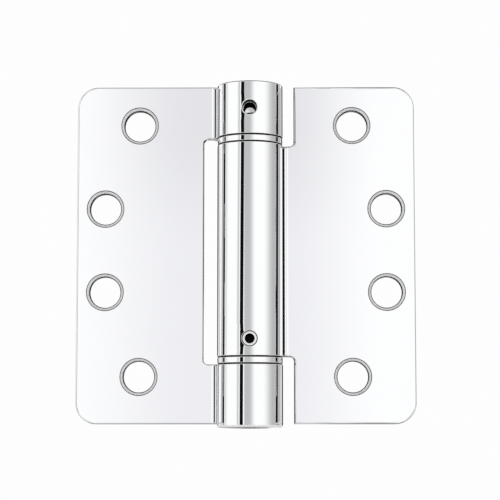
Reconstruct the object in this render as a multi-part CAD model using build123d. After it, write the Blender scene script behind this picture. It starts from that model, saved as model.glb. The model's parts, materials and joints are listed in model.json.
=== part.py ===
from build123d import *
import os
from math import asin, atan2, cos, degrees, radians, sin, sqrt, tan

# Spring hinge: two leaves of folded sheet round a three-knuckle barrel, opened flat.
# The origin is on the barrel's axis at the leaves' mid-height.
# +X runs out to the door leaf, +Y to the backs of the leaves and +Z up the barrel.
# All sizes are in millimetres and all angles in degrees.

# Leaves
leaf_height = 101.6
frame_leaf_reach = 52.1  # barrel axis to the leaf's outer edge
door_leaf_reach = 49.5
sheet = 3.0
leaf_set_back = 0.8  # from the barrel axis back to the leaves' front faces
corner_radius = 6.35
frame_edge_break = 0.4  # chamfer round the front rim
door_edge_break = 0.7
bend_gap = 1.85  # barrel surface to the line where a leaf starts to bend back
bend_radius = 2.5  # middle of the sheet
roll_past = 0.2  # rolled end behind the plane of the leaf's front face
frame_notch_gap = 4.1  # barrel surface to the notch in the frame leaf
door_notch_gap = 3.3
notch_radius = 1.2

# Screw holes
hole_diameter = 9.2
countersink_diameter = 11.0
countersink_angle = 82.0
near_hole_inset = 18.85  # leaf's outer edge to the pair nearer the barrel
far_hole_inset = 8.6
near_pair_spacing = 75.7
far_pair_spacing = 25.1
hole_group_rise = 1.1  # middle of the holes above the leaf's mid-height

# Barrel
barrel_diameter = 19.6
top_knuckle_length = 16.0
bottom_knuckle_length = 17.8
knuckle_chamfer = 0.35
washer_thickness = 2.0
washer_step = 0.1  # washer's rim inside the barrel's surface
end_play = 0.05  # each side of a thrust washer
running_gap = 0.05  # radial, between pieces that turn on each other
press_gap = 0.02  # radial, between pieces that are driven together

# Bushings
bushing_length = 12.0
bushing_wall = 1.8

# Tension adjuster
adjuster_recess = 1.0  # below the top of the barrel
adjuster_chamfer = 0.6
key_across_flats = 4.0
key_depth = 9.5
winding_hole_diameter = 3.7
winding_bores = 2  # drilled right through, so twice as many holes round the rim
tension_hole_diameter = 4.1
tension_hole_drop = 8.0  # below the top of the barrel
tension_hole_chamfer = 0.25

# Torsion spring
wire_diameter = 2.6
wire_sides = 6  # flats round the wire
coil_flats = 10  # straight stretches in one turn
coil_gap = 0.8  # least gap between turns
spring_bore_gap = 0.7  # coil to knuckle bore
spring_end_gap = 0.3
slot_gap = 0.15  # each side of the wire's end in its slot
nose_gap = 0.45  # inside the coil
nose_length = 4.5
wire_tip_gap = 0.5  # wire's tip inside the nose

# Lower spindle, anchor pin and bottom plug
spindle_head_length = 10.0
journal_overrun = 0.5  # past the lower bushing
anchor_pin_diameter = 4.5
anchor_pin_bore = 2.8
anchor_pin_length = 11.0
anchor_pin_recess = 0.2  # below the barrel's foremost line
anchor_pin_rise = 5.1  # above the foot of the centre knuckle
anchor_pin_chamfer = 0.25
plug_flange = 1.25
plug_length = 4.5
plug_chamfer = 0.8

# Radii round the barrel's axis
barrel_radius = barrel_diameter / 2
bore_radius = barrel_radius - sheet
fitted_radius = bore_radius - press_gap
turning_radius = bore_radius - running_gap
spindle_radius = fitted_radius - bushing_wall - running_gap
coil_outer_radius = bore_radius - spring_bore_gap
coil_radius = coil_outer_radius - wire_diameter / 2
coil_inner_radius = coil_outer_radius - wire_diameter
nose_radius = coil_inner_radius - nose_gap

# Heights along the barrel
leaf_top = leaf_height / 2
leaf_foot = -leaf_height / 2
top_knuckle_foot = leaf_top - top_knuckle_length
centre_knuckle_top = top_knuckle_foot - washer_thickness - 2 * end_play
bottom_knuckle_top = leaf_foot + bottom_knuckle_length
centre_knuckle_foot = bottom_knuckle_top + washer_thickness + 2 * end_play
tension_hole_height = leaf_top - tension_hole_drop
anchor_pin_height = centre_knuckle_foot + anchor_pin_rise
upper_shoulder = centre_knuckle_top - bushing_length
lower_shoulder = centre_knuckle_foot + spindle_head_length

# Folded section of a leaf: flat, bend, straight run that meets the barrel, rolled knuckle
leaf_front = leaf_set_back
leaf_back = leaf_set_back + sheet
leaf_middle = leaf_set_back + sheet / 2
flat_end = barrel_radius + bend_gap
bend_centre_y = leaf_middle + bend_radius
roll_reach = barrel_radius - sheet / 2 + bend_radius
run_length = sqrt(flat_end**2 + bend_centre_y**2 - roll_reach**2)
bend_turn = degrees(atan2(flat_end, bend_centre_y) - atan2(run_length, roll_reach))
rolled_end = degrees(asin((leaf_front + roll_past) / barrel_radius))
curl_start = 90 + bend_turn  # on the left of the axis, behind the barrel
curl_end = 180 - rolled_end
rolled_turn = 360 + curl_start - curl_end

tolerance = 0.001


def polar(radius, angle):
    """Point round the barrel's axis."""
    return (radius * cos(radians(angle)), radius * sin(radians(angle)))


def upright(radius, foot, top):
    """Round bar on the barrel's axis between two heights."""
    return Pos(0, 0, foot) * Cylinder(radius, top - foot, align=(Align.CENTER, Align.CENTER, Align.MIN))


def frontward(radius, front, back, height=0.0):
    """Round bar along Y between two depths, on the barrel's centre plane."""
    bar = Cylinder(radius, back - front, align=(Align.CENTER, Align.CENTER, Align.MIN))
    return Pos(0, front, height) * Rot(X=-90) * bar


def bend_section(notch_reach):
    """Section of a strip left of the axis: flat from the notch line, bend and run to the barrel."""
    bend_centre = (-flat_end, bend_centre_y)
    front_bend = CenterArc(bend_centre, bend_radius + sheet / 2, 270, bend_turn)
    back_bend = CenterArc(bend_centre, bend_radius - sheet / 2, 270, bend_turn)
    outline = [
        Line((-notch_reach, leaf_back), (-notch_reach, leaf_front)),
        Line((-notch_reach, leaf_front), front_bend @ 0),
        front_bend,
        Line(front_bend @ 1, polar(bore_radius, curl_start)),
        Line(polar(bore_radius, curl_start), polar(barrel_radius, curl_start)),
        Line(polar(barrel_radius, curl_start), back_bend @ 1),
        back_bend,
        Line(back_bend @ 0, (-notch_reach, leaf_back)),
    ]
    return make_face(outline)


def curl_section():
    """Section of a knuckle rolled from behind the barrel round to the leaf's front face."""
    outline = [
        CenterArc((0, 0), bore_radius, curl_end, rolled_turn),
        Line(polar(bore_radius, curl_end), polar(barrel_radius, curl_end)),
        CenterArc((0, 0), barrel_radius, curl_end, rolled_turn),
        Line(polar(barrel_radius, curl_start), polar(bore_radius, curl_start)),
    ]
    return make_face(outline)


def strip(section, foot, top):
    """Sheet of one section between two heights."""
    return extrude(Pos(0, 0, foot) * section, top - foot, dir=(0, 0, 1))


def rim_cutter(height, into):
    """Ring that chamfers a rolled rim; into is +1 above the rim's material and -1 below."""
    corner = (barrel_radius, height)
    inner = (barrel_radius - knuckle_chamfer, height)
    along = (barrel_radius, height - into * knuckle_chamfer)
    triangle = Plane.XZ * make_face(Polyline(corner, inner, along, close=True))
    ring = revolve(triangle, axis=Axis.Z, revolution_arc=rolled_turn)
    return Rot(Z=curl_end) * ring


def screw_hole(outward, height):
    """Countersunk hole through a leaf from its front, at a distance left of the axis."""
    sink = (countersink_diameter - hole_diameter) / 2 / tan(radians(countersink_angle / 2))
    cone = Cone(
        countersink_diameter / 2,
        hole_diameter / 2,
        sink,
        align=(Align.CENTER, Align.CENTER, Align.MIN),
    )
    shank = frontward(hole_diameter / 2, leaf_front, leaf_back)
    return Pos(-outward, 0, height) * (shank + Pos(0, leaf_front, 0) * Rot(X=-90) * cone)


def leaf(reach, notch_reach, edge_break, knuckle_spans, chamfered_rims):
    """Leaf left of the axis with its rolled knuckles, broken front rim and screw holes."""
    plate = Pos(-notch_reach, leaf_middle, 0) * Box(
        reach - notch_reach, sheet, leaf_height, align=(Align.MAX, Align.CENTER, Align.CENTER)
    )
    outer_corners = plate.edges().filter_by(Axis.Y).group_by(Axis.X)[0]
    body = fillet(outer_corners, corner_radius)
    for foot, top in knuckle_spans:
        body += strip(bend_section(notch_reach), foot, top)
    span_ends = [height for span in knuckle_spans for height in span if abs(height) < leaf_top]
    notch_corners = [
        edge
        for edge in body.edges().filter_by(Axis.Y)
        if abs(edge.center().X + notch_reach) < tolerance
        and any(abs(edge.center().Z - height) < tolerance for height in span_ends)
    ]
    body = fillet(notch_corners, notch_radius)
    flats = body.faces().filter_by(Axis.Y)
    front = flats.filter_by(lambda face: abs(face.center().Y - leaf_front) < tolerance)[0]
    rim = front.outer_wire().edges().filter_by(lambda edge: abs(edge.center().X + flat_end) > tolerance)
    body = chamfer(rim, edge_break)
    for foot, top in knuckle_spans:
        body += strip(curl_section(), foot, top)
    for height, into in chamfered_rims:
        body -= rim_cutter(height, into)
    for inset, spacing in ((near_hole_inset, near_pair_spacing), (far_hole_inset, far_pair_spacing)):
        for side in (1, -1):
            body -= screw_hole(reach - inset, hole_group_rise + side * spacing / 2)
    return body


def frame_leaf():
    """Left leaf with the top and bottom knuckles and the tension pin's hole."""
    spans = [(top_knuckle_foot, leaf_top), (leaf_foot, bottom_knuckle_top)]
    rims = [(leaf_top, 1), (top_knuckle_foot, -1), (bottom_knuckle_top, 1)]
    body = leaf(frame_leaf_reach, barrel_radius + frame_notch_gap, frame_edge_break, spans, rims)
    body -= frontward(tension_hole_diameter / 2, -barrel_diameter, 0, tension_hole_height)
    mouth = [
        edge
        for edge in body.edges()
        if edge.center().Y < -bore_radius - sheet / 2
        and abs(edge.center().Z - tension_hole_height) < tension_hole_diameter / 4
    ]
    return chamfer(mouth, tension_hole_chamfer)


def door_leaf():
    """Right leaf with the centre knuckle and the anchor pin's hole."""
    spans = [(centre_knuckle_foot, centre_knuckle_top)]
    rims = [(centre_knuckle_top, 1), (centre_knuckle_foot, -1)]
    body = leaf(door_leaf_reach, barrel_radius + door_notch_gap, door_edge_break, spans, rims)
    body = mirror(body, about=Plane.YZ)
    return body - frontward(anchor_pin_diameter / 2 + press_gap, -barrel_diameter, 0, anchor_pin_height)


def thrust_washer(foot):
    """Ring between two knuckles."""
    disc = upright(barrel_radius - washer_step, foot, foot + washer_thickness)
    return disc - upright(spindle_radius + running_gap, foot, foot + washer_thickness)


def bushing(foot):
    """Plain sleeve driven into a knuckle."""
    sleeve = upright(fitted_radius, foot, foot + bushing_length)
    return sleeve - upright(spindle_radius + running_gap, foot, foot + bushing_length)


def nose_slot(shoulder, tip):
    """Slot across a nose for the end of the spring's wire."""
    slot = Box(2 * coil_radius, wire_diameter + 2 * slot_gap, abs(tip - shoulder))
    return Pos(0, 0, (shoulder + tip) / 2) * slot


def tension_adjuster():
    """Winding plug: keyed head with cross bores, spindle and slotted nose."""
    head_top = leaf_top - adjuster_recess
    tip = upper_shoulder - nose_length
    head = upright(turning_radius, top_knuckle_foot, head_top)
    head = chamfer(head.edges().group_by(Axis.Z)[-1], adjuster_chamfer)
    body = head + upright(spindle_radius, upper_shoulder, top_knuckle_foot)
    body += upright(nose_radius, tip, upper_shoulder)
    body -= nose_slot(upper_shoulder, tip)
    key_side = key_across_flats / sqrt(3)
    key = extrude(RegularPolygon(key_side, 6), key_depth)
    body -= Pos(0, 0, head_top - key_depth) * key
    bore = frontward(winding_hole_diameter / 2, -barrel_radius, barrel_radius, tension_hole_height)
    for turn in range(winding_bores):
        body -= Rot(Z=turn * 180 / winding_bores) * bore
    return body


def torsion_spring():
    """Left-hand coil of round wire, in short flats, with its ends bent across the noses."""
    foot = lower_shoulder + spring_end_gap + wire_diameter / 2
    top = upper_shoulder - spring_end_gap - wire_diameter / 2
    turns = int((top - foot) / (wire_diameter + coil_gap))
    steps = turns * coil_flats
    tip = nose_radius - wire_tip_gap
    route = [(-tip, 0, foot)]
    for step in range(steps + 1):
        rise = (top - foot) * step / steps
        route.append((*polar(coil_radius, -360 * step / coil_flats), foot + rise))
    route.append((-tip, 0, top))
    path = Polyline(*route)
    start = Plane(origin=path @ 0, x_dir=(0, 0, 1), z_dir=(1, 0, 0))
    section = start * RegularPolygon(wire_diameter / 2, wire_sides)
    return sweep(section, path, transition=Transition.RIGHT)


def lower_spindle():
    """Spring anchor: slotted nose, pinned head and journal for the bottom knuckle."""
    tip = lower_shoulder + nose_length
    journal_foot = bottom_knuckle_top - bushing_length - journal_overrun
    body = upright(fitted_radius, centre_knuckle_foot, lower_shoulder)
    body += upright(spindle_radius, journal_foot, centre_knuckle_foot)
    body += upright(nose_radius, lower_shoulder, tip)
    body -= nose_slot(lower_shoulder, tip)
    pin_front = anchor_pin_recess - barrel_radius
    return body - frontward(
        anchor_pin_diameter / 2 + press_gap, pin_front, pin_front + anchor_pin_length, anchor_pin_height
    )


def anchor_pin():
    """Hollow pin through the centre knuckle into the lower spindle."""
    front = anchor_pin_recess - barrel_radius
    back = front + anchor_pin_length
    pin = frontward(anchor_pin_diameter / 2, front, back, anchor_pin_height)
    pin -= frontward(anchor_pin_bore / 2, front, back, anchor_pin_height)
    return chamfer(pin.edges().group_by(Axis.Y)[0].sort_by(SortBy.LENGTH)[-1:], anchor_pin_chamfer)


def bottom_plug():
    """Closing plug with a chamfered flange under the bottom knuckle."""
    flange = upright(barrel_radius, leaf_foot - plug_flange, leaf_foot)
    flange = chamfer(flange.edges().group_by(Axis.Z)[0], plug_chamfer)
    return flange + upright(fitted_radius, leaf_foot, leaf_foot + plug_length)


nodes = {
    "frame_leaf": frame_leaf(),
    "door_leaf": door_leaf(),
    "upper_thrust_washer": thrust_washer(centre_knuckle_top + end_play),
    "lower_thrust_washer": thrust_washer(bottom_knuckle_top + end_play),
    "tension_adjuster": tension_adjuster(),
    "upper_bushing": bushing(upper_shoulder),
    "lower_bushing": bushing(bottom_knuckle_top - bushing_length),
    "torsion_spring": torsion_spring(),
    "lower_spindle": lower_spindle(),
    "anchor_pin": anchor_pin(),
    "bottom_plug": bottom_plug(),
}

os.makedirs("parts", exist_ok=True)
for name, solid in nodes.items():
    export_step(solid, f"parts/{name}.step")
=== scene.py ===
"""Looks of a spring hinge in polished chrome, opened flat and seen from the front, a little from below."""
import json
from math import asin, atan2, cos, degrees, pi, radians, sin, sqrt, tan

import bmesh
import bpy
from mathutils import Matrix, Vector


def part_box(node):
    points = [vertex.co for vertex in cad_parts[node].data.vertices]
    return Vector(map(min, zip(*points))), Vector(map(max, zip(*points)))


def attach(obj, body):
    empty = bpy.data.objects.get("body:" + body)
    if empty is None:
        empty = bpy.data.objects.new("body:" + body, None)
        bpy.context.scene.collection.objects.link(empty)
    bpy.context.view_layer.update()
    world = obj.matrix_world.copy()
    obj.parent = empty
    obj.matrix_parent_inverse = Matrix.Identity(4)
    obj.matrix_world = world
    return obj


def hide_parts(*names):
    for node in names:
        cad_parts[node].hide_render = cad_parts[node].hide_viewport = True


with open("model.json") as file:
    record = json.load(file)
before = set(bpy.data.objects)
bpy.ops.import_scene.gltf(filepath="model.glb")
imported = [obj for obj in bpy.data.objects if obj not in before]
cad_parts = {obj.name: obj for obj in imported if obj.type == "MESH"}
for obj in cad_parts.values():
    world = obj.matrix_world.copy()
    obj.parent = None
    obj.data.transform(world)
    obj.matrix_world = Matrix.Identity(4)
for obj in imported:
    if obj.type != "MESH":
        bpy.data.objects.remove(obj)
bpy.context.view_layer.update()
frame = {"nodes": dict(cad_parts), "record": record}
mounts = {mount["name"]: mount for mount in frame["record"]["mounts"]}

MM = 0.001

# Leaves and barrel, from the frame
FRAME_LOW, FRAME_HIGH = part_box("frame_leaf")
DOOR_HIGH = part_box("door_leaf")[1]
UPPER_WASHER_LOW, UPPER_WASHER_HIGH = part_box("upper_thrust_washer")
LOWER_WASHER_LOW, LOWER_WASHER_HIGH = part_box("lower_thrust_washer")
PLUG_LOW, PLUG_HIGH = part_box("bottom_plug")
PIN_LOW, PIN_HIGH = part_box("anchor_pin")
ADJUSTER_LOW, ADJUSTER_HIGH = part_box("tension_adjuster")
SPRING_LOW, SPRING_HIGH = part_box("torsion_spring")
LEAF_TOP = FRAME_HIGH.z
LEAF_FOOT = FRAME_LOW.z
BARREL_RADIUS = FRAME_HIGH.x
LEAF_BACK = mounts["frame_leaf_back"]["pos_m"][1]
PIN_RADIUS = (PIN_HIGH.x - PIN_LOW.x) / 2
PIN_HEIGHT = (PIN_LOW.z + PIN_HIGH.z) / 2

# Folded sheet
SHEET = 3.0 * MM
END_PLAY = 0.05 * MM
CORNER_RADIUS = 6.35 * MM
NOTCH_RADIUS = 1.2 * MM
FRAME_NOTCH_GAP = 4.1 * MM
DOOR_NOTCH_GAP = 3.3 * MM
BEND_GAP = 1.85 * MM
BEND_RADIUS = 2.5 * MM  # middle of the sheet
ROLL_PAST = 0.2 * MM  # rolled end behind the leaf's front face
FRAME_EDGE_ROUND = 0.5 * MM
DOOR_EDGE_ROUND = 0.7 * MM
BACK_EDGE_ROUND = 0.35 * MM
RIM_SHADE_STEEPNESS = 0.4  # from here on a knuckle's rounded rim carries painted black shade
INNER_EDGE_STEEPNESS = 0.6  # edges that face the barrel by more than this get painted grey shade
INNER_EDGE_REACH = 6.0 * MM  # as far from the barrel as this
FOLD_SHADE_FROM = radians(17.8)  # the door leaf's bend gets painted black shade from here to the barrel
FOLD_TOLERANCE = SHEET / 20
CORNER_STEPS = 24
BEND_STEPS = 24
CURL_STEPS = 144
EDGE_STEPS = 5
LEAF_FRONT = LEAF_BACK - SHEET
BORE_RADIUS = BARREL_RADIUS - SHEET
FLAT_END = BARREL_RADIUS + BEND_GAP
BEND_CENTRE_Y = LEAF_FRONT + SHEET / 2 + BEND_RADIUS
ROLL_REACH = BARREL_RADIUS - SHEET / 2 + BEND_RADIUS
RUN_LENGTH = sqrt(FLAT_END**2 + BEND_CENTRE_Y**2 - ROLL_REACH**2)
BEND_TURN = atan2(FLAT_END, BEND_CENTRE_Y) - atan2(RUN_LENGTH, ROLL_REACH)
ROLLED_TURN = 3 * pi / 2 + BEND_TURN + asin((LEAF_FRONT + ROLL_PAST) / BARREL_RADIUS)

# Heights along the barrel
TOP_KNUCKLE_FOOT = UPPER_WASHER_HIGH.z + END_PLAY
CENTRE_KNUCKLE_TOP = UPPER_WASHER_LOW.z - END_PLAY
CENTRE_KNUCKLE_FOOT = LOWER_WASHER_HIGH.z + END_PLAY
BOTTOM_KNUCKLE_TOP = LOWER_WASHER_LOW.z - END_PLAY

# Holes
COUNTERSINK_RADIUS = 5.5 * MM
COUNTERSINK_SLOPE = tan(radians(41.0))
LIP_ROUND = 0.17 * MM
LIP_STEPS = ((0.45, 0.12), (0.0, 0.4), (-0.45, 0.8))  # outwards and deep, in lip rounds
THROAT_LIP = 0.22 * MM
TENSION_HOLE_RADIUS = 2.05 * MM
TENSION_HOLE_HEIGHT = LEAF_TOP - 8.0 * MM
ANCHOR_HOLE_GAP = 0.02 * MM
TENSION_MOUTH = 0.45 * MM
ANCHOR_MOUTH = 0.2 * MM
MOUTH_TURN = 0.75  # a mouth gets painted black shade where it faces outwards by less than this
HOLE_STEPS = 96
RIM_STEPS = 96
DRILL_MARGIN = 2.0  # half of the new wall round a drilled hole, in hole radii
PATCH_RINGS = 3
PATCH_SEARCH = 1.2  # sides of the new wall are looked for as far as this, in its half widths
PATCH_ACROSS = 1.1  # its points are set on the barrel as far as this across
PATCH_UP = 1.01  # and as far as this up and down

# Smaller pieces
WASHER_BORE_RADIUS = 4.98 * MM
WASHER_ROUND = 0.3 * MM
PLUG_PLAY = 0.02 * MM
PLUG_RADIUS = BORE_RADIUS - PLUG_PLAY
PLUG_ROUND = 0.75 * MM
PLUG_DOME = 0.3 * MM
PLUG_RINGS = 8
PLUG_ROUND_STEPS = 8
PLUG_RIM_REACH = MM / 10  # the rim to be rounded ends this far above the dome
PLUG_HIGHLIGHT_TURN = 0.85  # the plug's rim carries a painted highlight where it faces down by less than this
PIN_BORE_RADIUS = 1.4 * MM
PIN_ROUND = 0.25 * MM
PIN_SHADE_TURN = 0.95  # the pin's outline gets painted black shade where it faces forward by less than this
PIN_FLOOR = 1.0 * MM
KEY_ACROSS_FLATS = 4.0 * MM
KEY_DEPTH = 4.5 * MM
KEY_MOUTH = 1.15  # plain ring round the key, in corner radii
ADJUSTER_CHAMFER = 0.6 * MM
ADJUSTER_RIM = 0.9  # the head's rim starts here, in head radii
WINDING_HOLE_RADIUS = 1.85 * MM
FRONT_HOLE_STOP = 0.4 * MM  # the front hole ends this far before the axis
SIDE_HOLE_DEPTHS = (2.0 * MM, 2.0 * MM, 2.0 * MM)
BOTTOM_ROUND = 0.3 * MM
BOTTOM_SHARE = 0.84  # bright middle of a winding hole's bottom
DRILL_POINT = radians(5.0)
SPINDLE_RADIUS = 4.93 * MM
BUSHING_LENGTH = 12.0 * MM
NOSE_RADIUS = 3.05 * MM
NOSE_SLOT = 2.9 * MM
WIRE_RADIUS = 1.3 * MM
WIRE_SIDES = 20
SPRING_CLEARANCE = 0.7 * MM
SPRING_TURNS = 11
SPRING_TURN_STEPS = 36
TANG_PAST_AXIS = 2.0 * MM
TANG_RADIUS = WIRE_RADIUS * 0.98
TURNED_STEPS = 144

# How closely points and faces are told apart
SAME_POINT = MM * 0.001
SLIVER = MM / 5000
CUT_TOLERANCE = MM / 10000
ON_WALL = 0.03 * MM
NEAR_WALL = 0.3 * MM
SQUARE_FACE = 0.9999  # a face is square to an axis from here on
UPRIGHT_FACE = 0.1  # a face that faces up or down by less than this stands upright
SHARP_TURN = 40.0  # degrees

# Finishes, painted shade and painted highlight, in the order of the material slots of a leaf, and of the
# smaller pieces after their first
CHROME, CONE, GREY_SHADE_PAINT, BLACK_SHADE_PAINT, PAINTED_HIGHLIGHT = range(5)
WASHER_BLACK_SHADE, WASHER_HIGHLIGHT = 1, 2
PLUG_HIGHLIGHT = 1
PIN_BLACK_SHADE = 1
WINDING_SHADE, WINDING_BOTTOM = 1, 2

# Camera, in metres and radians
EYE = Vector((0.00681, -0.520, -0.052))
TILT = radians(5.834)
PAN = radians(-0.752)
LENS = 125.7
SENSOR_WIDTH = 36

# Floor, and the grey card in front of the barrel
FLOOR_HEIGHT = -0.14
FLOOR_RADIUS = 1.6
FLOOR_STEPS = 96
CARD_LEFT = -5.2 * MM
CARD_RIGHT = 5.6 * MM
CARD_FADE = -0.9 * MM  # from here to the right the card grows clear
CARD_FRONT = -20.0 * MM
CARD_HEIGHT = 200.0 * MM
CARD_GREY = (0.53, 0.54, 0.545, 1)

# Cards round the hinge: start, end, soft edge before, soft edge after and brightness,
# in degrees to the right of the camera's side
FRONT_CARDS = (
    (-178, -150, 1, 6, 0.03),
    (-116, -110, 6, 1.5, 0.5),
    (-108, -98.5, 1, 1, 0.005),
    (-96, -92, 1.5, 10, 0.74),
    (-40, -37.5, 8, 1, 0.6),
    (-33, -22.2, 1.2, 1.2, 0.004),
    (92, 102.5, 46, 1.5, 0.48),
    (105, 117.5, 1, 1, 0.005),
    (120, 130, 1.5, 7, 0.5),
    (148, 178, 4, 1, 0.03),
)
# Seen in one polished face through another
INNER_CARDS = (
    (-92, -88, 3, 3, 0.75),
    (-81.5, -72, 1, 1, 0.005),
    (-70.5, -64, 1, 5, 0.48),
    (-38, -10, 2, 3, 0.01),
    (50, 60, 7, 1.5, 0.45),
    (62.5, 75, 1, 1, 0.005),
    (77.5, 95, 1.5, 3, 0.42),
)
# Low and high, for the sides, the back and the top
OUTER_CARDS = (
    (-181, -174, 1, 14, 0.5),
    (-164, -158, 2, 2, 0.06),
    (-128, -118, 30, 14, 0.38),
    (-88, -80, 2, 2, 0.06),
    (-62, -52, 10, 24, 0.4),
    (-19, -16, 1.5, 1.5, 0.14),
    (-4, 2, 8, 10, 0.72),
    (25, 28, 1.5, 1.5, 0.14),
    (52, 62, 24, 10, 0.4),
    (80, 88, 2, 2, 0.06),
    (118, 128, 14, 30, 0.38),
    (150, 156, 2, 2, 0.06),
    (174, 181, 14, 1, 0.5),
)
LEAF_CARD = (-2.5, 0.3, 4.5, 3.4, 0.89)
LEAF_CARD_COLOUR = (0.972, 0.97, 1.0)
LEAF_CARD_TOP = 0.91  # brightness that its upper part has of the rest
LEAF_CARD_TOP_RISE = (5.5, 10)
CARD_LEAN = 3.5
CARD_LEAN_RISE = (-5, 16)
INNER_LEAN = 1.4  # in leans of the front cards
LOW_RISE = (-13, -7)
HIGH_RISE = (24, 34)
STRAIGHT_UP = (0.75, 0.96)  # upward share of a direction
STRAIGHT_UP_LIGHT = 0.3
PLAIN_LIGHT = 0.985
REFLECTED_LIGHT = 1.03
SECOND_MIRROR = 1.5  # glossy depth
THIRD_MIRROR = 2.5


def sharp_edges(bm, test):
    """Edges between faces that turn sharply, and that a test picks."""
    found = []
    for edge in bm.edges:
        if len(edge.link_faces) == 2 and degrees(edge.calc_face_angle()) > SHARP_TURN and test(edge):
            found.append(edge)
    return found


def soften(bm, edges, width, segments=EDGE_STEPS):
    """Rounds edges, and keeps the shading of the faces beside them true."""
    made = bmesh.ops.bevel(
        bm,
        geom=edges,
        offset=width,
        offset_type="OFFSET",
        segments=segments,
        profile=0.5,
        affect="EDGES",
        clamp_overlap=False,
        material=-1,
    )
    rounds = set(made["faces"])
    for face in rounds:
        face.smooth = True
        for edge in face.edges:
            edge.smooth = all(side in rounds for side in edge.link_faces)
    return rounds


def shade_all(bm):
    """Every face shaded smooth, to start with."""
    for face in bm.faces:
        face.smooth = True


def turned(profile, steps=TURNED_STEPS):
    """Solid turned about the barrel's axis from radius and height pairs, a closed profile."""
    bm = bmesh.new()
    points = [bm.verts.new((radius, 0, height)) for radius, height in profile]
    for point, following in zip(points, points[1:]):
        bm.edges.new((point, following))
    if min(radius for radius, height in profile) > 0:
        bm.edges.new((points[-1], points[0]))
    bmesh.ops.spin(
        bm,
        geom=bm.verts[:] + bm.edges[:],
        cent=(0, 0, 0),
        axis=(0, 0, 1),
        dvec=(0, 0, 0),
        angle=2 * pi,
        steps=steps,
        use_merge=True,
    )
    bmesh.ops.remove_doubles(bm, verts=bm.verts[:], dist=SAME_POINT)
    bmesh.ops.recalc_face_normals(bm, faces=bm.faces[:])
    shade_all(bm)
    for face in bm.faces:
        if abs(face.normal.z) > SQUARE_FACE:
            face.smooth = False
    return bm


def aim_along_y(bm, height):
    """Turns a shape made about the Z axis to lie along Y, with its top at the back."""
    bmesh.ops.rotate(bm, verts=bm.verts[:], cent=(0, 0, 0), matrix=Matrix.Rotation(-pi / 2, 3, "X"))
    bmesh.ops.translate(bm, verts=bm.verts[:], vec=(0, 0, height))


def mesh_of(name, bm):
    """Mesh made from a bmesh, which is then freed."""
    mesh = bpy.data.meshes.new(name)
    bm.to_mesh(mesh)
    bm.free()
    return mesh


def linked(name, mesh):
    """Object at the origin that carries a mesh."""
    thing = bpy.data.objects.new(name, mesh)
    bpy.context.scene.collection.objects.link(thing)
    return thing


def loop_edges(verts):
    """Edges that join some vertices to each other."""
    chosen = set(verts)
    joining = (edge for vert in verts for edge in vert.link_edges if edge.other_vert(vert) in chosen)
    return list(dict.fromkeys(joining))


def drawn(bm, loop, move, centre=Vector(), factor=1.0):
    """Walls drawn from a loop of edges to a moved loop, which is scaled across Y about a centre.

    Gives the new loop.
    """
    made = bmesh.ops.extrude_edge_only(bm, edges=loop)["geom"]
    verts = [part for part in made if isinstance(part, bmesh.types.BMVert)]
    bmesh.ops.scale(bm, verts=verts, vec=(factor, 1, factor), space=Matrix.Translation(-centre))
    bmesh.ops.translate(bm, verts=verts, vec=move)
    return loop_edges(verts)


def upright_ring(bm, radius, place, steps):
    """Ring of vertices round an axis along Y."""
    turn = Matrix.Translation(place) @ Matrix.Rotation(pi / 2, 4, "X")
    return bmesh.ops.create_circle(bm, cap_ends=False, segments=steps, radius=radius, matrix=turn)["verts"]


def wall_faces(bm, half, height, wall_radius):
    """Faces on the front of a barrel wall that a hole at some height would meet."""
    faces = []
    for face in bm.faces:
        spot = face.calc_center_median()
        on_wall = spot.y < 0 and abs(spot.xy.length - wall_radius) < ON_WALL
        spans = min(v.co.z for v in face.verts) < height < max(v.co.z for v in face.verts)
        if on_wall and spans and abs(spot.x) < half and abs(face.normal.z) < UPRIGHT_FACE:
            faces.append(face)
    return faces


def open_sides(bm, half, wall_radius):
    """Edges round an opening in the front of a barrel wall."""

    def on_wall(vert):
        """Whether a point is on the wall, in front and near the opening."""
        near = vert.co.y < 0 and abs(vert.co.x) < PATCH_SEARCH * half
        return near and abs(vert.co.xy.length - wall_radius) < ON_WALL

    return [edge for edge in bm.edges if edge.is_boundary and all(on_wall(vert) for vert in edge.verts)]


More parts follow.
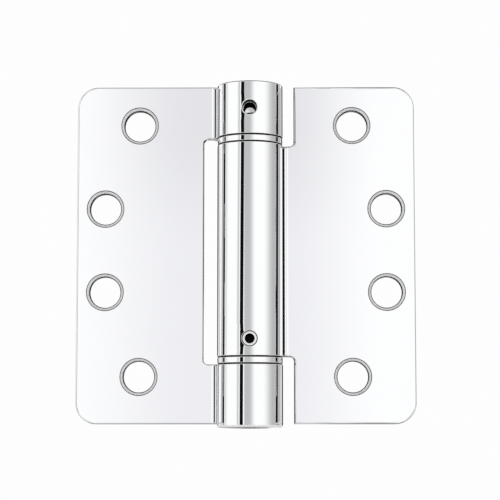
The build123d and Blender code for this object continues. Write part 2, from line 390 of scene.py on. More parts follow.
def drill_front(bm, radius, height, wall_radius):
    """Opens a round hole in the front of a barrel wall and gives its rim."""
    half = radius * DRILL_MARGIN
    for level in (height - half, height + half):
        faces = wall_faces(bm, half, height, wall_radius)
        edges = {edge for face in faces for edge in face.edges}
        verts = {vert for face in faces for vert in face.verts}
        bmesh.ops.bisect_plane(
            bm,
            geom=[*faces, *edges, *verts],
            dist=CUT_TOLERANCE,
            plane_co=(0, 0, level),
            plane_no=(0, 0, 1),
        )
    bmesh.ops.delete(bm, geom=wall_faces(bm, half, height, wall_radius), context="FACES")
    sides = open_sides(bm, half, wall_radius)
    tall = [edge for edge in sides if abs(edge.verts[0].co.z - edge.verts[1].co.z) > half]
    cuts = (RIM_STEPS - (len(sides) - len(tall))) // 2 - 1
    beside = {face for edge in tall for face in edge.link_faces}
    bmesh.ops.subdivide_edges(bm, edges=tall, cuts=cuts)
    bmesh.ops.triangulate(bm, faces=list(beside), ngon_method="BEAUTY")
    sides = open_sides(bm, half, wall_radius)
    rim = upright_ring(bm, radius, (0, 0, height), RIM_STEPS)
    for vert in rim:
        vert.co.y = -sqrt(wall_radius**2 - vert.co.x**2)
    rim = loop_edges(rim)
    joined = bmesh.ops.bridge_loops(bm, edges=sides + rim)
    bmesh.ops.subdivide_edges(bm, edges=joined["edges"], cuts=PATCH_RINGS, use_grid_fill=True)
    for vert in bm.verts:
        near = abs(vert.co.x) < half * PATCH_ACROSS and abs(vert.co.z - height) < half * PATCH_UP
        if near and vert.co.y < 0 and abs(vert.co.xy.length - wall_radius) < NEAR_WALL:
            vert.co.y = -sqrt(wall_radius**2 - vert.co.x**2)
    for face in bm.faces:
        spot = face.calc_center_median()
        near = abs(spot.x) < half and abs(spot.z - height) < half
        if near and abs(spot.xy.length - wall_radius) < NEAR_WALL:
            face.smooth = True
    return rim


def drill_through(bm, radius, height, mouth):
    """Round hole through the front of a knuckle, with painted black shade on its wall and a rounded mouth
    that carries a painted highlight and painted shade.
    """
    outer_rim = drill_front(bm, radius, height, BARREL_RADIUS)
    inner_rim = drill_front(bm, radius, height, BORE_RADIUS)
    wall = bmesh.ops.bridge_loops(bm, edges=outer_rim + inner_rim)["faces"]
    bmesh.ops.recalc_face_normals(bm, faces=bm.faces[:])
    # Painted black shade on the hole's wall; painted highlight and shade on its mouth.
    for face in wall:
        face.smooth = True
        face.material_index = BLACK_SHADE_PAINT
    for face in soften(bm, outer_rim, mouth):
        outwards = face.calc_center_median() * Vector((1, 1, 0))
        steep = face.normal.dot(outwards.normalized()) < MOUTH_TURN
        face.material_index = BLACK_SHADE_PAINT if steep else PAINTED_HIGHLIGHT


def finish_piece(name, bm, body, node, materials):
    """Object for a node: it takes the node's place, rides on its body and wears the materials."""
    piece = linked(name, mesh_of(name, bm))
    for material in materials:
        piece.data.materials.append(material)
    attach(piece, body)
    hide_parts(node)


def spun_end(bm, face, centre, angle, steps):
    """Sweeps an end face round an upright axis and gives the face at the new end."""
    swept = bmesh.ops.spin(
        bm,
        geom=[face, *face.edges, *face.verts],
        cent=centre,
        axis=(0, 0, 1),
        dvec=(0, 0, 0),
        angle=angle,
        steps=steps,
        use_merge=False,
    )
    return [part for part in swept["geom_last"] if isinstance(part, bmesh.types.BMFace)][0]


def corner_keys(corners):
    """Corners as a vertex holds them, in single precision."""
    return [Vector((x, z))[:] for x, z in corners]


def flat_plate(reach, inner_side, notches):
    """Leaf before folding: outline with rounded corners and notches, as thick as the sheet."""
    bm = bmesh.new()
    outline = [(-reach, LEAF_FOOT), (-reach, LEAF_TOP), *inner_side]
    points = [bm.verts.new((x, LEAF_FRONT, z)) for x, z in outline]
    bm.faces.new(points)
    notch_keys = corner_keys(notches)
    notch_points = [point for point in points if point.co.xz[:] in notch_keys]
    for corners, radius in ((points[:2], CORNER_RADIUS), (notch_points, NOTCH_RADIUS)):
        bmesh.ops.bevel(
            bm,
            geom=corners,
            offset=radius,
            offset_type="OFFSET",
            segments=CORNER_STEPS,
            profile=0.5,
            affect="VERTICES",
            clamp_overlap=False,
            material=-1,
        )
    thick = bmesh.ops.extrude_face_region(bm, geom=bm.faces[:])["geom"]
    back = [part for part in thick if isinstance(part, bmesh.types.BMVert)]
    bmesh.ops.translate(bm, verts=back, vec=(0, SHEET, 0))
    bmesh.ops.recalc_face_normals(bm, faces=bm.faces[:])
    return bm


def screw_places(side):
    """Places left of the axis and radius of a leaf's screw holes, from its bolt patterns."""
    places = []
    for row in ("near", "far"):
        mount = mounts[f"{side}_{row}_screws"]
        x = -abs(mount["pos_m"][0])
        height = mount["pos_m"][2]
        half_spacing = mount["dims"]["spacing_y_mm"] * MM / 2
        for step in (1, -1):
            places.append((x, height + step * half_spacing, mount["dims"]["hole_r_mm"] * MM))
    return places


def drill_screws(bm, places):
    """Countersunk screw holes with rounded lips through the flat of a leaf, with painted grey and black
    shade on lips, throat and shank.
    """
    flats = []
    for way in (-1, 1):
        facing = [face for face in bm.faces if face.normal.y * way > SQUARE_FACE]
        flats.append(max(facing, key=lambda face: face.calc_area()))
    front_rim, back_rim = (flat.edges[:] for flat in flats)
    bmesh.ops.delete(bm, geom=flats, context="FACES_ONLY")
    for x, height, radius in places:
        throat = radius + THROAT_LIP
        throat_depth = (COUNTERSINK_RADIUS - throat) / COUNTERSINK_SLOPE + LIP_ROUND / 2
        steps = []
        # Painted grey shade on the lips and the shank, painted black shade at the throat's edge.
        for out, deep in LIP_STEPS:
            steps.append((COUNTERSINK_RADIUS + LIP_ROUND * out, LIP_ROUND * deep, GREY_SHADE_PAINT))
        steps.append((throat, throat_depth, CONE))
        steps.append((radius, throat_depth + THROAT_LIP, BLACK_SHADE_PAINT))
        steps.append((radius, SHEET, GREY_SHADE_PAINT))
        centre = Vector((x, 0, height))
        wide = COUNTERSINK_RADIUS + LIP_ROUND
        shallow = 0.0
        loop = loop_edges(upright_ring(bm, wide, (x, LEAF_FRONT, height), HOLE_STEPS))
        front_rim.extend(loop)
        for narrow, deep, finish in steps:
            before = set(bm.faces)
            loop = drawn(bm, loop, (0, deep - shallow, 0), centre, narrow / wide)
            for face in set(bm.faces) - before:
                face.smooth = True
                face.material_index = finish
            if finish in (CONE, BLACK_SHADE_PAINT):
                for edge in loop:
                    edge.smooth = False
            wide = narrow
            shallow = deep
        back_rim.extend(loop)
    for rim in (front_rim, back_rim):
        bmesh.ops.triangle_fill(bm, use_beauty=True, edges=rim)
    bmesh.ops.recalc_face_normals(bm, faces=bm.faces[:])


def on_plug(edge):
    """Whether an edge is the rolled rim that the closing plug stands against."""
    low = all(vert.co.z < LEAF_FOOT + END_PLAY for vert in edge.verts)
    return low and all(vert.co.x > -BARREL_RADIUS - END_PLAY for vert in edge.verts)


def rim_paint_or_chrome(face):
    """Chrome, painted highlight or painted shade of a rounded edge.

    At a knuckle's end it carries a painted highlight and then painted black shade, towards the barrel
    painted grey shade, and elsewhere it is polished.
    """
    spot = face.calc_center_median()
    if spot.xy.length < BARREL_RADIUS:
        return BLACK_SHADE_PAINT if abs(face.normal.z) > RIM_SHADE_STEEPNESS else PAINTED_HIGHLIGHT
    near_barrel = spot.x > -BARREL_RADIUS - INNER_EDGE_REACH
    return GREY_SHADE_PAINT if near_barrel and face.normal.x > INNER_EDGE_STEEPNESS else CHROME


def paint_fold_shade(bm):
    """Paints black shade on the bend close to the barrel."""
    for face in bm.faces:
        arm = face.calc_center_median() - Vector((-FLAT_END, BEND_CENTRE_Y, 0))
        on_front = abs(arm.xy.length - BEND_RADIUS - SHEET / 2) < FOLD_TOLERANCE
        in_shade = FOLD_SHADE_FROM < atan2(arm.x, -arm.y) < pi / 2
        if on_front and in_shade and abs(face.normal.z) < UPRIGHT_FACE:
            face.material_index = BLACK_SHADE_PAINT


def folded_leaf(plate, places, spans, edge_round):
    """Leaf left of the axis: drilled plate, bends, straight runs and rolled knuckles in one sheet."""
    bm = plate
    front = bm.verts.layers.int.new("front")
    for vert in bm.verts:
        vert[front] = int(vert.co.y < LEAF_FRONT + SHEET / 2)
    for foot, top in spans:
        middle = Vector((-FLAT_END, LEAF_FRONT + SHEET / 2, (foot + top) / 2))
        end = min(bm.faces, key=lambda face: (face.calc_center_median() - middle).length)
        end = spun_end(bm, end, (-FLAT_END, BEND_CENTRE_Y, 0), BEND_TURN, BEND_STEPS)
        run = bmesh.ops.extrude_face_region(bm, geom=[end])["geom"]
        bmesh.ops.delete(bm, geom=[end], context="FACES_ONLY")
        end = [part for part in run if isinstance(part, bmesh.types.BMFace)][0]
        heading = Vector((cos(BEND_TURN), sin(BEND_TURN), 0))
        bmesh.ops.translate(bm, verts=end.verts[:], vec=heading * RUN_LENGTH)
        spun_end(bm, end, (0, 0, 0), -ROLLED_TURN, CURL_STEPS)
    bmesh.ops.recalc_face_normals(bm, faces=bm.faces[:])
    shade_all(bm)
    # Top and bottom faces of the leaf's flat carry the painted highlight.
    for face in bm.faces:
        if abs(face.normal.z) > SQUARE_FACE and face.calc_center_median().xy.length > BARREL_RADIUS:
            face.material_index = PAINTED_HIGHLIGHT
    # Rounded edges take chrome, a painted highlight or painted shade.
    for side, width in ((1, edge_round), (0, BACK_EDGE_ROUND)):
        rim = sharp_edges(bm, lambda edge: all(vert[front] == side for vert in edge.verts))
        for face in soften(bm, [edge for edge in rim if not on_plug(edge)], width):
            face.material_index = rim_paint_or_chrome(face)
    bmesh.ops.dissolve_degenerate(bm, dist=SLIVER, edges=bm.edges[:])
    drill_screws(bm, places)
    for face in bm.faces:
        outside = face.calc_center_median().x < -FLAT_END
        if abs(face.normal.z) > SQUARE_FACE or (outside and abs(face.normal.y) > SQUARE_FACE):
            face.smooth = False
    return bm


def frame_leaf():
    """Left leaf with the top and bottom knuckles and the tension pin's hole."""
    notch = -BARREL_RADIUS - FRAME_NOTCH_GAP
    notches = [(notch, TOP_KNUCKLE_FOOT), (notch, BOTTOM_KNUCKLE_TOP)]
    inner_side = [
        (-FLAT_END, LEAF_TOP),
        (-FLAT_END, TOP_KNUCKLE_FOOT),
        *notches,
        (-FLAT_END, BOTTOM_KNUCKLE_TOP),
        (-FLAT_END, LEAF_FOOT),
    ]
    spans = [(TOP_KNUCKLE_FOOT, LEAF_TOP), (LEAF_FOOT, BOTTOM_KNUCKLE_TOP)]
    plate = flat_plate(-FRAME_LOW.x, inner_side, notches)
    bm = folded_leaf(plate, screw_places("frame"), spans, FRAME_EDGE_ROUND)
    drill_through(bm, TENSION_HOLE_RADIUS, TENSION_HOLE_HEIGHT, TENSION_MOUTH)
    return bm


def door_leaf():
    """Right leaf with the centre knuckle and the anchor pin's hole."""
    notch = -BARREL_RADIUS - DOOR_NOTCH_GAP
    notches = [(notch, CENTRE_KNUCKLE_TOP), (notch, CENTRE_KNUCKLE_FOOT)]
    inner_side = [
        (notch, LEAF_TOP),
        notches[0],
        (-FLAT_END, CENTRE_KNUCKLE_TOP),
        (-FLAT_END, CENTRE_KNUCKLE_FOOT),
        notches[1],
        (notch, LEAF_FOOT),
    ]
    spans = [(CENTRE_KNUCKLE_FOOT, CENTRE_KNUCKLE_TOP)]
    plate = flat_plate(DOOR_HIGH.x, inner_side, notches)
    bm = folded_leaf(plate, screw_places("door"), spans, DOOR_EDGE_ROUND)
    # Painted black shade on the fold next to the barrel.
    paint_fold_shade(bm)
    bmesh.ops.scale(bm, verts=bm.verts[:], vec=(-1, 1, 1))
    bmesh.ops.reverse_faces(bm, faces=bm.faces[:])
    drill_through(bm, PIN_RADIUS + ANCHOR_HOLE_GAP, PIN_HEIGHT, ANCHOR_MOUTH)
    return bm


def thrust_washer(foot, top, rim):
    """Ring between two knuckles with rounded edges, carrying a painted highlight and then painted black
    shade.
    """
    bm = turned([(WASHER_BORE_RADIUS, foot), (rim, foot), (rim, top), (WASHER_BORE_RADIUS, top)])
    outer = sharp_edges(bm, lambda edge: edge.verts[0].co.xy.length > BORE_RADIUS)
    # Rounded edges: painted highlight, then painted black shade where they turn steeply.
    for face in soften(bm, outer, WASHER_ROUND):
        steep = abs(face.normal.z) > RIM_SHADE_STEEPNESS
        face.material_index = WASHER_BLACK_SHADE if steep else WASHER_HIGHLIGHT
    return bm


def bottom_plug():
    """Closing plug: domed, rounded flange under the bottom knuckle and a plain body inside it."""
    rings = [step / PLUG_RINGS for step in range(PLUG_RINGS + 1)]
    bm = turned(
        [
            *((BARREL_RADIUS * ring, PLUG_LOW.z + PLUG_DOME * ring**2) for ring in rings),
            (BARREL_RADIUS, LEAF_FOOT),
            (PLUG_RADIUS, LEAF_FOOT),
            (PLUG_RADIUS, PLUG_HIGH.z),
            (0, PLUG_HIGH.z),
        ]
    )
    rim_top = PLUG_LOW.z + PLUG_DOME + PLUG_RIM_REACH
    rim = sharp_edges(bm, lambda edge: max(v.co.z for v in edge.verts) < rim_top)
    # The rim's rounding carries a painted highlight where it faces down little.
    for face in soften(bm, rim, PLUG_ROUND, PLUG_ROUND_STEPS):
        if abs(face.normal.z) < PLUG_HIGHLIGHT_TURN:
            face.material_index = PLUG_HIGHLIGHT
    return bm


def anchor_pin():
    """Hollow pin with a rounded mouth, closed at the back, with painted black shade inside and at its
    outline and a painted highlight elsewhere.
    """
    floor_depth = PIN_HIGH.y - PIN_FLOOR
    bm = turned(
        [
            (0, floor_depth),
            (PIN_BORE_RADIUS, floor_depth),
            (PIN_BORE_RADIUS, PIN_LOW.y),
            (PIN_RADIUS, PIN_LOW.y),
            (PIN_RADIUS, PIN_HIGH.y),
            (0, PIN_HIGH.y),
        ],
        HOLE_STEPS,
    )
    mouth = sharp_edges(bm, lambda edge: max(v.co.z for v in edge.verts) < PIN_LOW.y + PIN_ROUND)
    soften(bm, mouth, PIN_ROUND)
    # Painted black shade in the bore and at the outline; the rest carries the painted highlight.
    for face in bm.faces:
        spot = face.calc_center_median()
        inside = spot.xy.length < PIN_BORE_RADIUS + PIN_ROUND / 8
        outline = spot.xy.length > PIN_RADIUS - PIN_ROUND and abs(face.normal.z) < PIN_SHADE_TURN
        if (inside or outline) and spot.z < PIN_HIGH.y - PIN_FLOOR / 2:
            face.material_index = PIN_BLACK_SHADE
    aim_along_y(bm, PIN_HEIGHT)
    return bm


def winding_hole(bm, head, depth):
    """Blind hole in the front of the adjuster's head: painted black shade on its wall, a bright and
    slightly pointed bottom.
    """
    loop = drill_front(bm, WINDING_HOLE_RADIUS, TENSION_HOLE_HEIGHT, head)
    before = set(bm.faces)
    loop = drawn(bm, loop, (0, 0, 0))
    for vert in {vert for edge in loop for vert in edge.verts}:
        vert.co.y = depth - head
    centre = Vector((0, 0, TENSION_HOLE_HEIGHT))
    loop = drawn(bm, loop, (0, BOTTOM_ROUND, 0), centre, BOTTOM_SHARE)
    # Painted black shade on the hole's wall.
    for face in set(bm.faces) - before:
        face.material_index = WINDING_SHADE
        face.smooth = True
    bottom = bmesh.ops.edgeloop_fill(bm, edges=loop)["faces"]
    bmesh.ops.recalc_face_normals(bm, faces=bm.faces[:])
    for face in bottom:
        face.material_index = WINDING_BOTTOM
    bmesh.ops.poke(bm, faces=bottom, offset=-WINDING_HOLE_RADIUS * tan(DRILL_POINT))


def nose_half(way, foot, length):
    """Mesh of the adjuster's nose on one side of its slot."""
    bm = bmesh.new()
    bmesh.ops.create_cone(
        bm,
        cap_ends=True,
        segments=TURNED_STEPS,
        radius1=NOSE_RADIUS,
        radius2=NOSE_RADIUS,
        depth=length,
        matrix=Matrix.Translation((0, 0, foot + length / 2)),
    )
    bmesh.ops.bisect_plane(
        bm,
        geom=bm.verts[:] + bm.edges[:] + bm.faces[:],
        plane_co=(0, way * NOSE_SLOT / 2, 0),
        plane_no=(0, way, 0),
        clear_inner=True,
    )
    bmesh.ops.holes_fill(bm, edges=[edge for edge in bm.edges if edge.is_boundary])
    bmesh.ops.recalc_face_normals(bm, faces=bm.faces[:])
    return mesh_of("nose_half", bm)


def tension_adjuster():
    """Winding plug: keyed head with winding holes, spindle and slotted nose."""
    head = ADJUSTER_HIGH.x
    top = ADJUSTER_HIGH.z
    shoulder = CENTRE_KNUCKLE_TOP - BUSHING_LENGTH
    key_corner = KEY_ACROSS_FLATS / sqrt(3)
    bm = turned(
        [
            (key_corner * KEY_MOUTH, top),
            (head, top),
            (head, TOP_KNUCKLE_FOOT),
            (SPINDLE_RADIUS, TOP_KNUCKLE_FOOT),
            (SPINDLE_RADIUS, shoulder),
            (0, shoulder),
        ]
    )
    mouth = [edge for edge in bm.edges if edge.is_boundary]
    key = bmesh.ops.create_circle(
        bm, cap_ends=False, segments=6, radius=key_corner, matrix=Matrix.Translation((0, 0, top))
    )
    key = loop_edges(key["verts"])
    bmesh.ops.triangle_fill(bm, use_beauty=True, edges=mouth + key)
    bmesh.ops.edgeloop_fill(bm, edges=drawn(bm, key, (0, 0, -KEY_DEPTH)))
    bmesh.ops.recalc_face_normals(bm, faces=bm.faces[:])

    def on_rim(edge):
        """Whether an edge is at the outside of the head's top."""
        return all(v.co.z > top - END_PLAY and v.co.xy.length > head * ADJUSTER_RIM for v in edge.verts)

    soften(bm, sharp_edges(bm, on_rim), ADJUSTER_CHAMFER)
    for depth in (head - FRONT_HOLE_STOP, *SIDE_HOLE_DEPTHS):
        winding_hole(bm, head, depth)
        bmesh.ops.rotate(bm, verts=bm.verts[:], cent=(0, 0, 0), matrix=Matrix.Rotation(pi / 2, 3, "Z"))
    for way in (1, -1):
        half = nose_half(way, ADJUSTER_LOW.z, shoulder - ADJUSTER_LOW.z)
        bm.from_mesh(half)
        bpy.data.meshes.remove(half)
    return bm


def torsion_spring():
    """Left-hand coil of round wire whose ends cross the noses."""
    bm = bmesh.new()
    foot = SPRING_LOW.z + WIRE_RADIUS
    rise = SPRING_HIGH.z - SPRING_LOW.z - 2 * WIRE_RADIUS
    coil_radius = BORE_RADIUS - SPRING_CLEARANCE - WIRE_RADIUS
    steps = SPRING_TURNS * SPRING_TURN_STEPS
    upright = Matrix.Translation((coil_radius, 0, foot)) @ Matrix.Rotation(pi / 2, 4, "X")
    bmesh.ops.create_circle(bm, cap_ends=True, segments=WIRE_SIDES, radius=WIRE_RADIUS, matrix=upright)
    bmesh.ops.spin(
        bm,
        geom=bm.verts[:] + bm.edges[:] + bm.faces[:],
        cent=(0, 0, 0),
        axis=(0, 0, 1),
        dvec=(0, 0, rise / steps),
        angle=-2 * pi * SPRING_TURNS,
        steps=steps,
        use_merge=False,
    )
    bmesh.ops.recalc_face_normals(bm, faces=bm.faces[:])
    shade_all(bm)
    for face in bm.faces:
        if len(face.verts) > 4:
            face.smooth = False
    tang_length = coil_radius + TANG_PAST_AXIS
    for height in (foot, foot + rise):
        middle = Matrix.Translation((coil_radius - tang_length / 2, 0, height))
        bmesh.ops.create_cone(
            bm,
            cap_ends=True,
            segments=WIRE_SIDES,
            radius1=TANG_RADIUS,
            radius2=TANG_RADIUS,
            depth=tang_length,
            matrix=middle @ Matrix.Rotation(pi / 2, 4, "Y"),
        )
    return bm


def new_finish(name, metallic=0.0):
    """New material with its node tree and shader, as metallic as given."""
    material = bpy.data.materials.new(name)
    material.use_nodes = True
    tree = material.node_tree
    shader = tree.nodes["Principled BSDF"]
    shader.inputs["Metallic"].default_value = metallic
    return material, tree, shader


def add(tree, kind, **values):
    """New node, with its inputs or settings set by name."""
    node = tree.nodes.new(kind)
    for key, value in values.items():
        if key in node.inputs:
            node.inputs[key].default_value = value
        else:
            setattr(node, key, value)
    return node


def noise(tree, scale, detail, stretch=(1, 1, 1), turn=(0, 0, 0)):
    """Noise on the piece's own coordinates, stretched and turned."""
    place = add(tree, "ShaderNodeTexCoord")
    mapping = add(tree, "ShaderNodeMapping", Scale=stretch, Rotation=turn)
    tree.links.new(place.outputs["Object"], mapping.inputs["Vector"])
    texture = add(tree, "ShaderNodeTexNoise", Scale=scale, Detail=detail)
    tree.links.new(mapping.outputs["Vector"], texture.inputs["Vector"])
    return texture.outputs["Fac"]


def ranged(tree, source, limits, kind="LINEAR"):
    """A source spread from one range to another, by the names of the node's inputs."""
    node = add(tree, "ShaderNodeMapRange", interpolation_type=kind, **limits)
    tree.links.new(source, node.inputs["Value"])
    return node.outputs["Result"]


def soft_step(tree, source, start, end, low, high):
    """Soft change from one value to another while a source goes from start to end."""
    limits = {"From Min": start, "From Max": end, "To Min": low, "To Max": high}
    return ranged(tree, source, limits, "SMOOTHSTEP")


def tint(tree, shader, source, dark, light):
    """Base colour that wanders between two colours with a source."""
    ramp = add(tree, "ShaderNodeValToRGB")
    ramp.color_ramp.elements[0].color = (*dark, 1)
    ramp.color_ramp.elements[1].color = (*light, 1)
    tree.links.new(source, ramp.inputs["Fac"])
    tree.links.new(ramp.outputs["Color"], shader.inputs["Base Color"])


def roughen(tree, shader, source, low, high):
    """Roughness that wanders between two values with a source."""
    tree.links.new(ranged(tree, source, {"To Min": low, "To Max": high}), shader.inputs["Roughness"])


def dent(tree, shader, source, strength, depth):
    """Bump from a source."""
    bump = add(tree, "ShaderNodeBump", Strength=strength, Distance=depth)
    tree.links.new(source, bump.inputs["Height"])
    tree.links.new(bump.outputs["Normal"], shader.inputs["Normal"])


def polished_chrome():
    """Mirror plating with a faint polishing haze."""
    material, tree, shader = new_finish("polished_chrome", metallic=1.0)
    haze = noise(tree, scale=90, detail=4)
    tint(tree, shader, haze, dark=(0.945, 0.95, 0.96), light=(0.965, 0.968, 0.975))
    fine_haze = noise(tree, scale=260, detail=6)
    roughen(tree, shader, fine_haze, low=0.015, high=0.045)
    return material


def cut_chrome():
    """Plated countersink with the streaks of the cutter."""
    material, tree, shader = new_finish("cut_chrome", metallic=0.3)
    streaks = noise(tree, scale=900, detail=3, stretch=(1, 1, 0.12), turn=(0, radians(35), 0))
    tint(tree, shader, streaks, dark=(0.78, 0.79, 0.8), light=(0.98, 0.98, 0.985))
    roughen(tree, shader, streaks, low=0.15, high=0.35)
    dent(tree, shader, streaks, strength=0.35, depth=0.05 * MM)
    return material


def grey_shade_paint():
    """Wall of a drilled hole, duller than the faces and darkened as painted grey shade; also the
    countersinks' lips and edges facing the barrel.
    """
    material, tree, shader = new_finish("grey_shade_paint", metallic=1.0)
    rings = noise(tree, scale=700, detail=3, stretch=(0.2, 2.0, 0.2))
    tint(tree, shader, rings, dark=(0.10, 0.10, 0.105), light=(0.24, 0.24, 0.25))
    roughen(tree, shader, rings, low=0.25, high=0.4)
    return material


def black_shade_paint():
    """Painted black shade: near-black metal in the gaps between knuckle and washer, in holes and on the
    door leaf's fold.
    """
    material, tree, shader = new_finish("black_shade_paint", metallic=1.0)
    marks = noise(tree, scale=900, detail=3)
    tint(tree, shader, marks, dark=(0.015, 0.015, 0.016), light=(0.05, 0.05, 0.052))
    roughen(tree, shader, marks, low=0.35, high=0.5)
    return material


def satin_painted_highlight():
    """Painted highlight: pale, partly diffuse satin plating that stays near white on rounded rims, hole
    mouths and end faces.
    """
    material, tree, shader = new_finish("satin_painted_highlight", metallic=0.6)
    cloth = noise(tree, scale=700, detail=3)
    tint(tree, shader, cloth, dark=(0.95, 0.953, 0.957), light=(0.98, 0.98, 0.983))
    roughen(tree, shader, cloth, low=0.45, high=0.55)
    return material


def bright_steel():
    """Turned steel with fine rings and bright plating."""
    material, tree, shader = new_finish("bright_steel", metallic=1.0)
    rings = noise(tree, scale=1400, detail=2, stretch=(0.1, 0.1, 3.0))
    tint(tree, shader, rings, dark=(0.70, 0.71, 0.73), light=(0.82, 0.83, 0.85))
    roughen(tree, shader, rings, low=0.1, high=0.22)
    dent(tree, shader, rings, strength=0.15, depth=0.02 * MM)
    return material


def spring_steel():
    """Oiled, dark drawn wire."""
    material, tree, shader = new_finish("spring_steel", metallic=1.0)
    film = noise(tree, scale=500, detail=5)
    tint(tree, shader, film, dark=(0.20, 0.20, 0.22), light=(0.40, 0.39, 0.40))
    roughen(tree, shader, film, low=0.22, high=0.42)
    return material


def bearing_nylon():
    """Natural moulded plastic, matt."""
    material, tree, shader = new_finish("bearing_nylon")
    grain = noise(tree, scale=800, detail=4)
    tint(tree, shader, grain, dark=(0.80, 0.79, 0.73), light=(0.88, 0.87, 0.82))
    roughen(tree, shader, grain, low=0.45, high=0.6)
    dent(tree, shader, grain, strength=0.1, depth=0.02 * MM)
    return material


def studio():
    """World: white to the camera, even white light, and a tent with grey cards in reflections.

    The cards lean a little, and the one that the leaves show is darker higher up.
    """
    world = bpy.data.worlds.new("studio")
    world.use_nodes = True
    bpy.context.scene.world = world
    tree = world.node_tree
    background = tree.nodes["Background"]

    def maths(operation, *sources):
        """Sum on numbers or sockets."""
        node = add(tree, "ShaderNodeMath", operation=operation)
        for socket, source in zip(node.inputs, sources):
            if isinstance(source, (int, float)):
                socket.default_value = source
            else:
                tree.links.new(source, socket)
        return node.outputs[0]

    def cover(angle, start, end, before, after):
        """How far a card hides the tent at an angle."""
        begun = soft_step(tree, angle, start - before, start, 0, 1)
        return maths("MULTIPLY", begun, soft_step(tree, angle, end, end + after, 1, 0))

    def dimmed(light, covered, brightness):
        """Light behind a card of some brightness."""
        held_back = maths("MULTIPLY", covered, 1.0 - brightness)
        return maths("MULTIPLY", light, maths("SUBTRACT", 1.0, held_back))

    def tent(angle, cards):
        """White tent with cards hung in it."""
        light = 1.0
        for *edges, brightness in cards:
            light = dimmed(light, cover(angle, *edges), brightness)
        return light

    direction = add(tree, "ShaderNodeTexCoord").outputs["Generated"]
    axes = add(tree, "ShaderNodeSeparateXYZ")
    tree.links.new(direction, axes.inputs["Vector"])
    towards_camera = maths("MULTIPLY", axes.outputs["Y"], -1.0)
    angle = maths("DEGREES", maths("ARCTAN2", axes.outputs["X"], towards_camera))
    rise = maths("DEGREES", maths("ARCSINE", axes.outputs["Z"]))
    lean = soft_step(tree, rise, *CARD_LEAN_RISE, -CARD_LEAN, CARD_LEAN)
    light_path = add(tree, "ShaderNodeLightPath")
    again = maths("GREATER_THAN", light_path.outputs["Glossy Depth"], SECOND_MIRROR)
    once = maths("SUBTRACT", 1.0, again)
    deeper = maths("GREATER_THAN", light_path.outputs["Glossy Depth"], THIRD_MIRROR)

    *leaf_edges, leaf_brightness = LEAF_CARD
    before_leaves = cover(angle, *leaf_edges)
    first = dimmed(tent(maths("SUBTRACT", angle, lean), FRONT_CARDS), before_leaves, leaf_brightness)
    leaf_top = maths("MULTIPLY", before_leaves, soft_step(tree, rise, *LEAF_CARD_TOP_RISE, 0, 1))
    first = dimmed(first, leaf_top, LEAF_CARD_TOP)
    inner_angle = maths("ADD", angle, maths("MULTIPLY", lean, INNER_LEAN))
    second = maths("MAXIMUM", deeper, tent(inner_angle, INNER_CARDS))
    light = maths("ADD", maths("MULTIPLY", first, once), maths("MULTIPLY", second, again))

    low = soft_step(tree, rise, *LOW_RISE, 1, 0)
    outer = maths("MAXIMUM", low, soft_step(tree, rise, *HIGH_RISE, 0, 1))
    light = maths("MULTIPLY", light, maths("SUBTRACT", 1.0, outer))
    light = maths("ADD", light, maths("MULTIPLY", tent(angle, OUTER_CARDS), outer))
    steepness = maths("ABSOLUTE", axes.outputs["Z"])
    light = maths("MULTIPLY", light, soft_step(tree, steepness, *STRAIGHT_UP, 1.0, STRAIGHT_UP_LIGHT))

    glossy = light_path.outputs["Is Glossy Ray"]
    reflected = maths("MAXIMUM", glossy, light_path.outputs["Is Transmission Ray"])
    plain = maths("MULTIPLY", maths("SUBTRACT", 1.0, reflected), PLAIN_LIGHT)
    mirrored = maths("MULTIPLY", reflected, maths("MULTIPLY", light, REFLECTED_LIGHT))
    tree.links.new(maths("ADD", plain, mirrored), background.inputs["Strength"])
    colour = add(tree, "ShaderNodeValToRGB")
    colour.color_ramp.elements[0].color = (1, 1, 1, 1)
    colour.color_ramp.elements[1].color = (*LEAF_CARD_COLOUR, 1)
    tree.links.new(maths("MULTIPLY", before_leaves, reflected), colour.inputs["Fac"])
    tree.links.new(colour.outputs["Color"], background.inputs["Color"])


def barrel_card():
    """Grey card close in front of the barrel, seen only in polished faces.

    It grows clear towards the right.
    """
    bm = bmesh.new()
    bmesh.ops.create_grid(bm, x_segments=1, y_segments=1, size=0.5)
    middle = Matrix.Translation(((CARD_LEFT + CARD_RIGHT) / 2, CARD_FRONT, 0))
    size = Matrix.Diagonal((CARD_RIGHT - CARD_LEFT, CARD_HEIGHT, 1, 1))
    upright = middle @ Matrix.Rotation(pi / 2, 4, "X") @ size
    bmesh.ops.transform(bm, verts=bm.verts[:], matrix=upright)
    card = linked("barrel_card", mesh_of("barrel_card", bm))
    card.visible_camera = False
    card.visible_diffuse = False
    card.visible_shadow = False
    material = bpy.data.materials.new("grey_card")
    material.use_nodes = True
    tree = material.node_tree
    tree.nodes.remove(tree.nodes["Principled BSDF"])
    axes = add(tree, "ShaderNodeSeparateXYZ")
    place = add(tree, "ShaderNodeTexCoord").outputs["Object"]
    tree.links.new(place, axes.inputs["Vector"])
    fade = soft_step(tree, axes.outputs["X"], CARD_FADE, CARD_RIGHT, 1.0, 0.0)
    grey = add(tree, "ShaderNodeEmission", Color=CARD_GREY, Strength=1.0)
    clear = add(tree, "ShaderNodeBsdfTransparent")
    blend = add(tree, "ShaderNodeMixShader")
    tree.links.new(fade, blend.inputs["Fac"])
    tree.links.new(clear.outputs["BSDF"], blend.inputs[1])
    tree.links.new(grey.outputs["Emission"], blend.inputs[2])
    tree.links.new(blend.outputs["Shader"], tree.nodes["Material Output"].inputs["Surface"])
    card.data.materials.append(material)


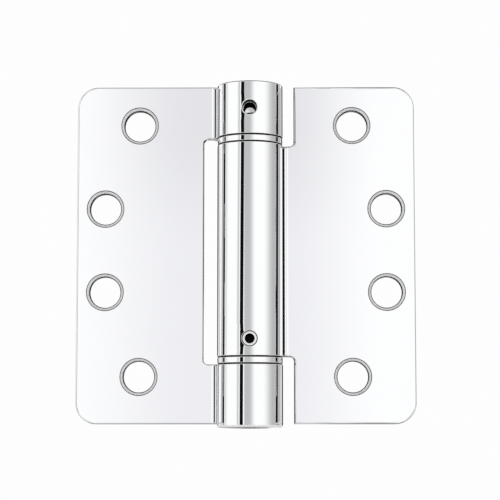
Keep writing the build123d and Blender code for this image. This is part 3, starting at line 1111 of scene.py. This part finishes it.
def floor():
    """Round pale floor under the hinge, clear of the camera's view."""
    bm = bmesh.new()
    place = Matrix.Translation((0, 0, FLOOR_HEIGHT))
    bmesh.ops.create_circle(bm, cap_ends=True, segments=FLOOR_STEPS, radius=FLOOR_RADIUS, matrix=place)
    ground = linked("floor", mesh_of("floor", bm))
    material, tree, shader = new_finish("pale_floor")
    tint(tree, shader, noise(tree, scale=8, detail=3), dark=(0.985, 0.985, 0.985), light=(1.0, 1.0, 1.0))
    shader.inputs["Roughness"].default_value = 0.8
    ground.data.materials.append(material)
    ground.visible_glossy = False


def camera():
    """Camera in front of the hinge, below it and tilted up."""
    data = bpy.data.cameras.new("camera")
    data.lens = LENS
    data.sensor_width = SENSOR_WIDTH
    eye = bpy.data.objects.new("camera", data)
    eye.location = EYE
    eye.rotation_euler = (pi / 2 + TILT, 0, -PAN)
    bpy.context.scene.collection.objects.link(eye)
    bpy.context.scene.camera = eye


def main():
    """Finished pieces in place of their nodes, materials on the hidden ones, studio and camera."""
    chrome = polished_chrome()
    steel = bright_steel()
    # Painted grey shade, painted black shade and a painted highlight, beside the real finishes.
    grey_shade = grey_shade_paint()
    dark = black_shade_paint()
    rim = satin_painted_highlight()
    leaf_finish = [chrome, cut_chrome(), grey_shade, dark, rim]
    washer_rim = UPPER_WASHER_HIGH.x
    upper = thrust_washer(UPPER_WASHER_LOW.z, UPPER_WASHER_HIGH.z, washer_rim)
    lower = thrust_washer(LOWER_WASHER_LOW.z, LOWER_WASHER_HIGH.z, washer_rim)
    rows = (
        ("frame_leaf", frame_leaf(), "frame_side", "polished_chrome", leaf_finish),
        ("door_leaf", door_leaf(), "door_side", "polished_chrome", leaf_finish),
        ("upper_thrust_washer", upper, "frame_side", "polished_chrome", [chrome, dark, rim]),
        ("lower_thrust_washer", lower, "frame_side", "polished_chrome", [chrome, dark, rim]),
        ("bottom_plug", bottom_plug(), "frame_side", "polished_chrome", [chrome, rim]),
        ("anchor_pin", anchor_pin(), "door_side", "bright_steel", [rim, dark]),
        ("tension_adjuster", tension_adjuster(), "adjuster", "bright_steel", [steel, dark, chrome]),
        ("torsion_spring", torsion_spring(), "door_side", "spring_steel", [spring_steel()]),
    )
    for node, bm, body, slot, materials in rows:
        finish_piece(f"{node}_finished", bm, body, node, materials)
    nylon = bearing_nylon()
    for node, material in (("upper_bushing", nylon), ("lower_bushing", nylon), ("lower_spindle", steel)):
        hidden = frame["nodes"][node]
        hidden.data.materials.clear()
        hidden.data.materials.append(material)
    studio()
    barrel_card()
    floor()
    camera()
    bpy.context.scene.view_settings.view_transform = "Standard"


main()
